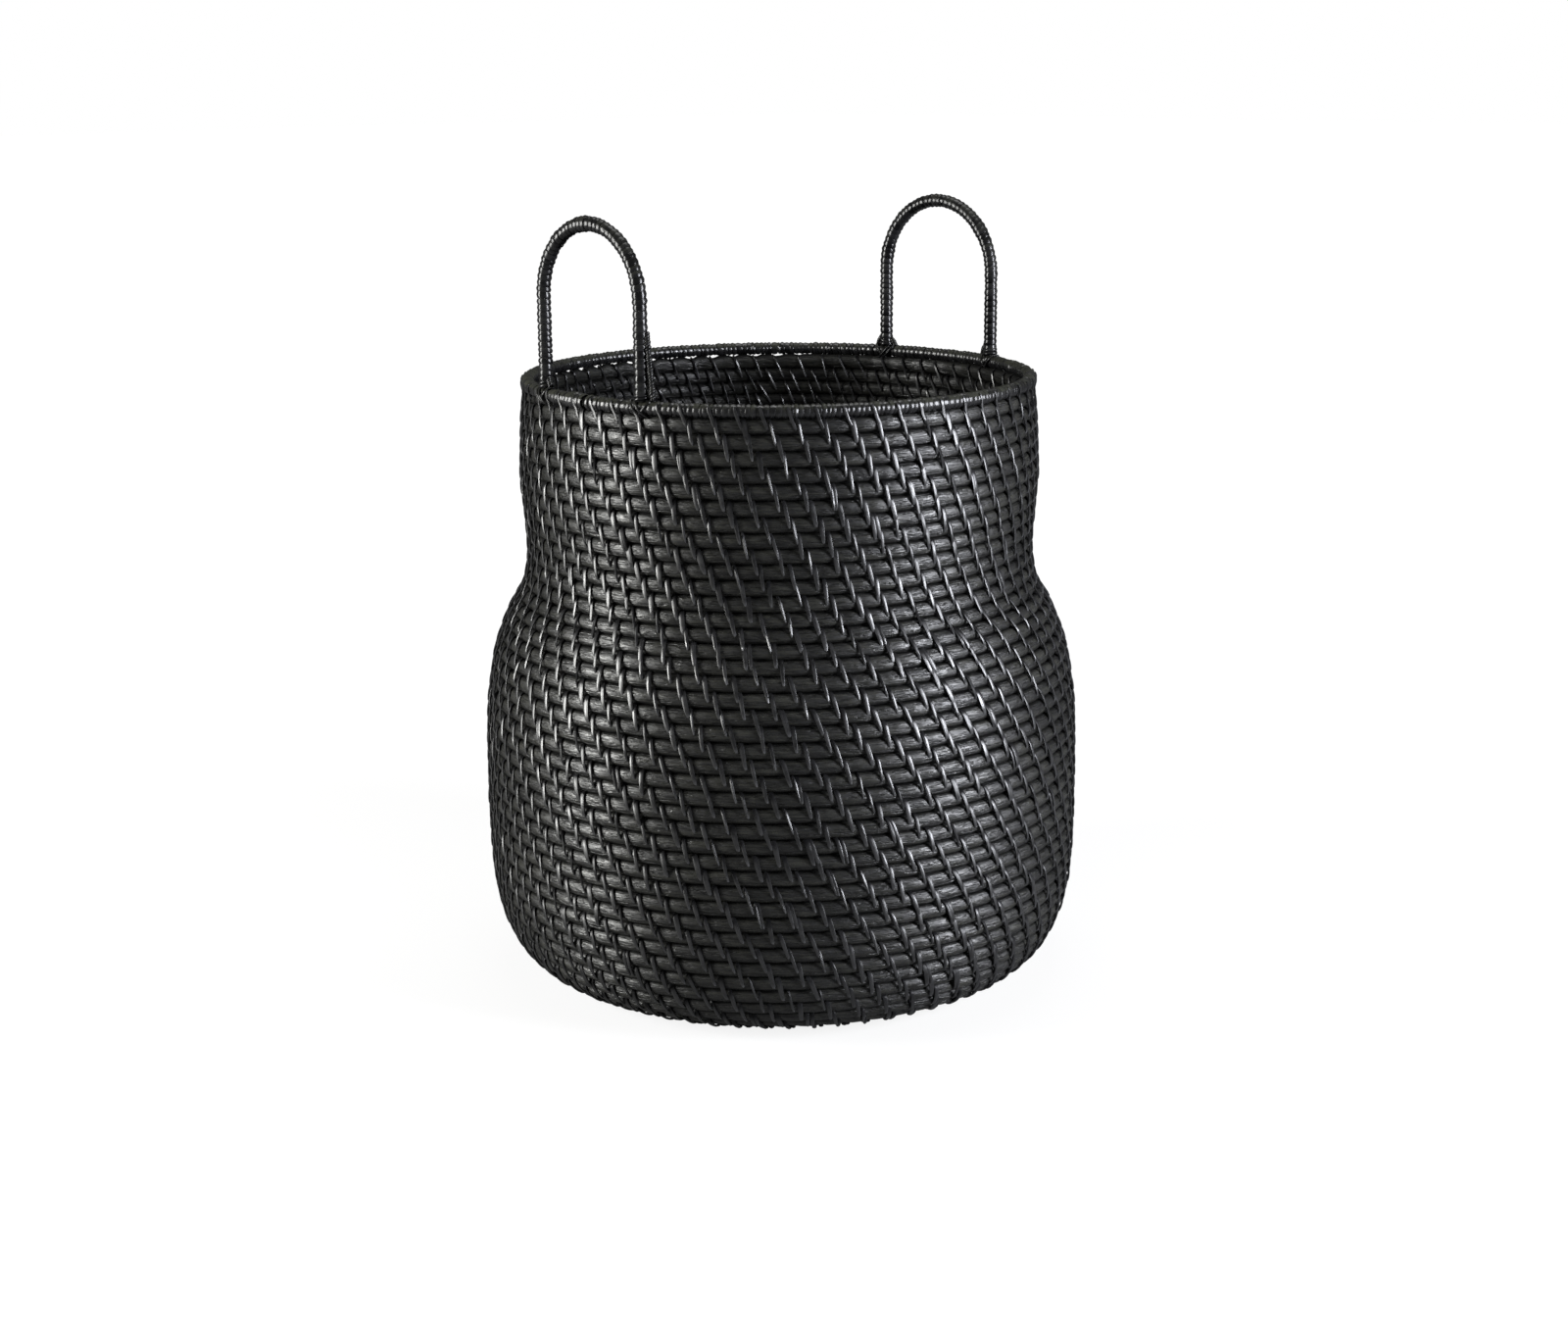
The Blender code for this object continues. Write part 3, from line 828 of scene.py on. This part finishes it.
rimStitchLook = {
    "width": 3.0 * mm, "thickness": 1.1 * mm, "shift": 5.5 * mm, "over": 0.6, "seed": 41,
    "placeJitter": 0.8 * mm, "leanJitter": 0.15, "widthRange": (0.8, 1.15),
    # angle round the rim tube (from outward, over the top), width share, slant share
    "overShares": ((40, 0.45, 0.04), (26, 0.85, 0.08), (8, 1.0, 0.15), (-16, 1.0, 0.25)),
    # down from the rim's underside in rows, out of the wall's middle line in half depths, width, slant
    "downShares": ((0.12, 1.12, 0.98, 0.50), (0.42, 1.15, 0.92, 0.74), (0.64, 1.04, 0.75, 0.90),
                   (0.76, 0.60, 0.45, 1.00)),
}


def makeRimStitches():
    look = rimStitchLook
    tube = rimLook["tube"] + rimLook["thickness"] * look["over"]
    lineOut = rimRadius - (mouthRadius - wall["rodDepth"] / 2)
    path = [(lineOut + tube * math.cos(math.radians(angle)), tube * math.sin(math.radians(angle)))
            for angle, width, slant in look["overShares"]]
    path += [(out * rodLook["halfDepth"], -coil["rimTube"] - down * pitch)
             for down, out, width, slant in look["downShares"]]
    shares = [share[1:] for share in look["overShares"]] + [share[2:] for share in look["downShares"]]
    strip = drawStrip(path, [width * look["width"] for width, slant in shares], look["thickness"])
    count = coil["stitchesPerTurn"]
    first = stitchPlaces[stitchPlaces >= coilTurns][0]
    places = np.arange(count) / count + first - coilTurns - look["shift"] / (turn * rimRadius)
    single = copyRow(strip, count)
    x, y, z = single.T
    slants = np.repeat([slant for width, slant in shares], stripLook["corners"])
    draw = seeded(look["seed"])
    place = draw.normal(0, look["placeJitter"], count)
    lean = look["shift"] * (1 + draw.normal(0, look["leanJitter"], count))
    across = place[:, None] + x * draw.uniform(*look["widthRange"], count)[:, None]
    across = across + slants * lean[:, None]
    angle = (coil["spliceAngle"] + turn * places)[:, None] + across / rimRadius
    points = onWall(angle, reachAt(rimHeight) + z + 0 * angle, y + 0 * angle)
    writePoints(strip, points.reshape(-1, 3))
    addTones(strip, draw, count, len(single))
    finishPiece(strip, "rimStitches", cane, None, stripLook["sharp"])


makeRimRod()
makeRim()
makeRimStitches()
print("rim wound")


# the handles: peel wound round each bent rod

handleLook = {
    "rise": 113.1 * mm, "tube": 4.3 * mm, "pitch": 4.0 * mm, "width": 3.85 * mm, "thickness": 1.05 * mm,
    "segments": 14, "footGap": 0.3 * mm, "rodRadius": 3.7 * mm, "rodSteps": 120,
    "stepJitter": 0.12, "radialJitter": 0.03, "tilt": 0.14, "tiltJitter": 0.04,
    # each leg's place, front and back
    "leftFeet": (-46.2 * mm, 50.0 * mm), "rightFeet": (-50.0 * mm, 52.0 * mm),
    # share of the handle's length, how much thicker, over what length
    "leftLumps": ((0.505, 0.17, 3 * mm), (0.525, 0.08, 8 * mm)),
    "rightLumps": ((0.86, 0.12, 5 * mm), (0.74, 0.10, 4 * mm)),
    "leftSeed": 51, "rightSeed": 52,
}
handleFoot = rimHeight + coil["rimTube"] + handleLook["footGap"]


def footX(y):
    return math.sqrt(rimRadius ** 2 - y ** 2)


def handleFrame(side, feet):
    # the handle's own path, from the front foot over the top to the back one, and its length
    low, high = feet
    radius = (high - low) / 2
    spring = rimHeight + handleLook["rise"] - radius
    leg = spring - handleFoot
    length = 2 * leg + math.pi * radius

    def onHandle(along, out, sideways):
        bend = np.clip((along - leg) / radius, 0, math.pi)
        before = np.minimum(along - leg, 0)
        after = np.maximum(along - leg - math.pi * radius, 0)
        y = (low + high) / 2 - (radius + out) * np.cos(bend)
        z = spring + (radius + out) * np.sin(bend) + before - after
        x = side * (footX(low) + (footX(high) - footX(low)) * (1 - np.cos(bend)) / 2) + sideways
        return np.stack([x, y, z], -1)

    return onHandle, length


def makeHandle(name, side):
    look = handleLook
    onHandle, length = handleFrame(side, look[name + "Feet"])
    draw = seeded(look[name + "Seed"])
    centres, steps, radial = windSteps(look, draw, length)
    for share, more, over in look[name + "Lumps"]:
        radial += more * ease(1 - np.abs(centres - share * length) / over)
    wrap = windPeel(look, draw, centres, steps, radial, onHandle)
    node = name + "_handle_binding"
    finishPiece(wrap, name + "HandleBinding", handleCane, node, wrapLook["sharp"])

    def place(along, around):
        thick = look["rodRadius"]
        return onHandle(along * length, thick * np.cos(around), thick * np.sin(around))

    girth = turn * look["rodRadius"]
    rollTube(name + "HandleRod", look["rodSteps"], place, length, girth, name + "_handle_rod")


# the lashings at the handles' feet: turns round the leg, crossed strips over the rim and short side strands

lashingLook = {
    "turns": 2, "tube": 4.6 * mm, "height": 4.5 * mm, "flare": 0.10, "width": 2.8 * mm, "thickness": 0.9 * mm,
    "segments": 14, "tilt": 0, "tiltJitter": 0.16,
    "seeds": {"leftFront": 60, "leftBack": 62, "rightFront": 61, "rightBack": 63},
}
crossLook = {
    "width": 3.0 * mm, "thickness": 1.2 * mm, "under": 0.35,
    # in mm across, out and up from the top of the rim, and width share
    "path": (
        (-7.4, -0.6, 0.2, 0.5), (-6.8, 2.2, 0.6, 0.9), (-5.4, 4.6, -1.8, 1.0), (-3.2, 5.5, -4.6, 1.0),
        (-0.6, 5.0, -7.4, 1.0), (1.9, 3.6, -9.6, 0.9), (3.6, 1.6, -10.6, 0.5)),
    # how far each strip is shifted along the rim, in mm, and whether it leans the other way and lies under
    "places": ((-0.4, False), (3.2, False), (0.4, True)),
}
gussetLook = {
    "width": 2.4 * mm, "segments": 8, "tilt": 0.8, "tiltJitter": 0.15, "radialJitter": 0.08, "clear": 0.4,
    # a strand wound beside the leg: how far along the rim it ends, height where it starts, wraps, radius
    "leftFront": ((8.4 * mm, 42 * mm, 24, 1.7 * mm), (10 * mm, 9 * mm, 6, 1.7 * mm)),
    "leftBack": ((8 * mm, 5 * mm, 4, 1.5 * mm),),
    "rightFront": ((10 * mm, 8 * mm, 6, 1.6 * mm),),
    "rightBack": ((7 * mm, 5 * mm, 4, 1.4 * mm), (-7 * mm, 5 * mm, 4, 1.4 * mm)),
}


def crossStrip(angle, shift, mirrored, inside):
    # one strip of a crossed lashing, bent over the rim at this angle
    flip = -1 if mirrored else 1
    turned = -1 if inside else 1
    across, outs, ups, widths = zip(*crossLook["path"])
    path = [((out - crossLook["under"] * mirrored) * mm * turned, up * mm) for out, up in zip(outs, ups)]
    strip = drawStrip(path, [width * crossLook["width"] for width in widths], crossLook["thickness"])
    x, y, z = readPoints(strip).T
    x = x + (shift + flip * np.repeat(across, stripLook["corners"])) * mm
    where = angle + x / rimRadius
    radius = rimRadius + y
    top = rimHeight + coil["rimTube"]
    writePoints(strip, np.stack([radius * np.cos(where), radius * np.sin(where), top + z], -1))
    return strip


def windGusset(foot, angle, far, high, count, radius, draw):
    # short turns round a strand that runs from the side of the leg down to the top of the rim
    look = gussetLook
    where = angle + far / rimRadius
    low = Vector((rimRadius * math.cos(where), rimRadius * math.sin(where), foot.z + radius * look["clear"]))
    aside = (low - foot).normalized() * lashingLook["tube"]
    top = foot + Vector((aside.x, aside.y, high))
    run = low - top
    strandAxis = run.normalized()
    outward = Vector((math.cos(angle), math.sin(angle), 0))
    outward = (outward - strandAxis * outward.dot(strandAxis)).normalized()
    side = strandAxis.cross(outward)
    wrap = drawWrap(radius, look["width"], lashingLook["thickness"], look["segments"])
    centres = (np.arange(count) + 0.5) / count * run.length
    tilts = look["tilt"] * (1 + look["tiltJitter"] * draw.normal(0, 1, count))
    radial = 1 + look["radialJitter"] * draw.normal(0, 1, count)

    def onStrand(along, x, y):
        return (np.array(top) + along[..., None] * np.array(strandAxis) + x[..., None] * np.array(outward)
                + y[..., None] * np.array(side))

    wrapAlong(wrap, draw, centres, np.ones(count), radial, tilts, onStrand)
    return wrap


def makeLashing(name, side, foot, node):
    look = lashingLook
    draw = seeded(look["seeds"][name])
    foot = Vector((side * footX(foot), foot, handleFoot))
    angle = math.atan2(foot.y, foot.x)
    count = look["turns"]
    centres = (np.arange(count) + 0.5) / count * look["height"]
    radial = 1 + look["flare"] * (1 - centres / look["height"]) ** 2

    def onLeg(along, x, y):
        return np.stack([foot.x + x, foot.y + y, foot.z + along + 0 * x], -1)

    pieces = [windPeel(look, draw, centres, np.ones(count), radial, onLeg)]
    for shift, mirrored in crossLook["places"]:
        for inside in (False, True):
            strip = crossStrip(angle, shift, mirrored, inside)
            addValue(strip, "tone", np.full(len(strip.data.vertices), draw.random()))
            pieces.append(strip)
    for far, high, wraps, radius in gussetLook[name]:
        pieces.append(windGusset(foot, angle, far, high, wraps, radius, draw))
    deselectAll()
    for piece in pieces:
        piece.select_set(True)
    bpy.context.view_layer.objects.active = pieces[0]
    bpy.ops.object.join()
    finishPiece(pieces[0], name + "Lashing", handleCane, node)


for handleName, side in (("left", -1), ("right", 1)):
    makeHandle(handleName, side)
    for legName, foot in zip(("front", "back"), handleLook[handleName + "Feet"]):
        node = "{}_handle_{}_lashing".format(handleName, legName)
        makeLashing(handleName + legName.capitalize(), side, foot, node)
print("handles bound and lashed")


# the studio: pale floor, white surroundings, a soft lamp on each side and a weak one above

studio = {
    "floorSize": 40, "floorColor": (0.16, 0.16, 0.16, 1), "white": (1, 1, 1, 1),
    # the floor glows white from this far out, and less near the basket, so that its shadow shows
    "floorGlow": 0.86, "glowRange": (0.45, 1.5),
    # the world's own light, and how much of its white shows in gloss
    "worldLight": 0.075, "glossShare": 0.06,
    # turned from the camera's side, height, distance, size, strength, colour
    "lamps": (
        ("leftLamp", -76, 0.60, 1.7, (0.6, 1.2), 44, (1.0, 1.0, 0.97)),
        ("rightLamp", 63, 0.60, 1.7, (0.5, 1.2), 54, (0.91, 0.93, 1.0)),
        ("topLamp", 170, 2.2, 0.45, (1.2, 1.2), 13, (1.0, 1.0, 1.0)),
    ),
    "lampAim": (0, 0, 0.25),
}
view = {
    "azimuth": -44.5, "distance": 1.70, "height": 0.631, "tilt": 13.99, "roll": -0.45,
    "lens": 56.28, "sensor": 36.0, "shift": 0.002,
}


def seenWhite(tree):
    # 1 where the camera looks straight at it or through glass, a small share in gloss, 0 as light
    rays = addNode(tree, "ShaderNodeLightPath", None, (), "Is Camera Ray")
    return rays + rays.output("Is Glossy Ray") * studio["glossShare"] + rays.output("Is Transmission Ray")


def makeFloor():
    deselectAll()
    bpy.ops.mesh.primitive_plane_add(size=studio["floorSize"])
    floor = bpy.context.object
    floor.name = "floor"
    material, tree, shader = newMaterial("paleFloor")
    fillInputs(tree, shader, {"Base Color": studio["floorColor"], "Roughness": matteLook["rough"],
                              "Specular IOR Level": matteLook["shine"]})
    place = addNode(tree, "ShaderNodeTexCoord", None, (), "Object")
    distance = addNode(tree, "ShaderNodeVectorMath", {"operation": "LENGTH"}, {0: place}, "Value")
    strength = seenWhite(tree) * remap(tree, distance, studio["glowRange"], (studio["floorGlow"], 1))
    glow = addNode(tree, "ShaderNodeEmission", None, {"Color": studio["white"], "Strength": strength})
    showSurface(tree, addNode(tree, "ShaderNodeAddShader", None, (Sock(tree, shader.outputs[0]), glow)))
    floor.data.materials.append(material)


def makeWorld():
    world = bpy.data.worlds.new("studio")
    bpy.context.scene.world = world
    world.use_nodes = True
    tree = world.node_tree
    strength = seenWhite(tree) * (1 - studio["worldLight"]) + studio["worldLight"]
    fillInputs(tree, tree.nodes["Background"], {"Color": studio["white"], "Strength": strength})


def placeAround(turned, distance, height):
    # a place this many degrees round from the front, counter-clockwise seen from above
    angle = math.radians(turned)
    return Vector((math.sin(angle) * distance, -math.cos(angle) * distance, height))


def makeLamps():
    for name, turned, height, distance, size, strength, color in studio["lamps"]:
        deselectAll()
        place = placeAround(view["azimuth"] + turned, distance, height)
        bpy.ops.object.light_add(type="AREA", location=place)
        lamp = bpy.context.object
        lamp.name = name
        lamp.data.shape = "RECTANGLE"
        lamp.data.size, lamp.data.size_y = size
        lamp.data.energy = strength
        lamp.data.color = color
        aim = Vector(studio["lampAim"]) - place
        lamp.rotation_euler = aim.to_track_quat("-Z", "Y").to_euler()


def makeCamera():
    deselectAll()
    bpy.ops.object.camera_add()
    camera = bpy.context.object
    place = placeAround(view["azimuth"], view["distance"], view["height"])
    turned = Matrix.Rotation(math.radians(view["azimuth"]), 4, "Z")
    turned = turned @ Matrix.Rotation(math.radians(90 - view["tilt"]), 4, "X")
    turned = turned @ Matrix.Rotation(math.radians(view["roll"]), 4, "Z")
    camera.matrix_world = Matrix.Translation(place) @ turned
    camera.data.lens = view["lens"]
    camera.data.sensor_width = view["sensor"]
    camera.data.shift_x = view["shift"]
    bpy.context.scene.camera = camera


makeFloor()
makeWorld()
makeLamps()
makeCamera()
bpy.context.scene.view_settings.view_transform = "Standard"
deselectAll()
print("studio set")
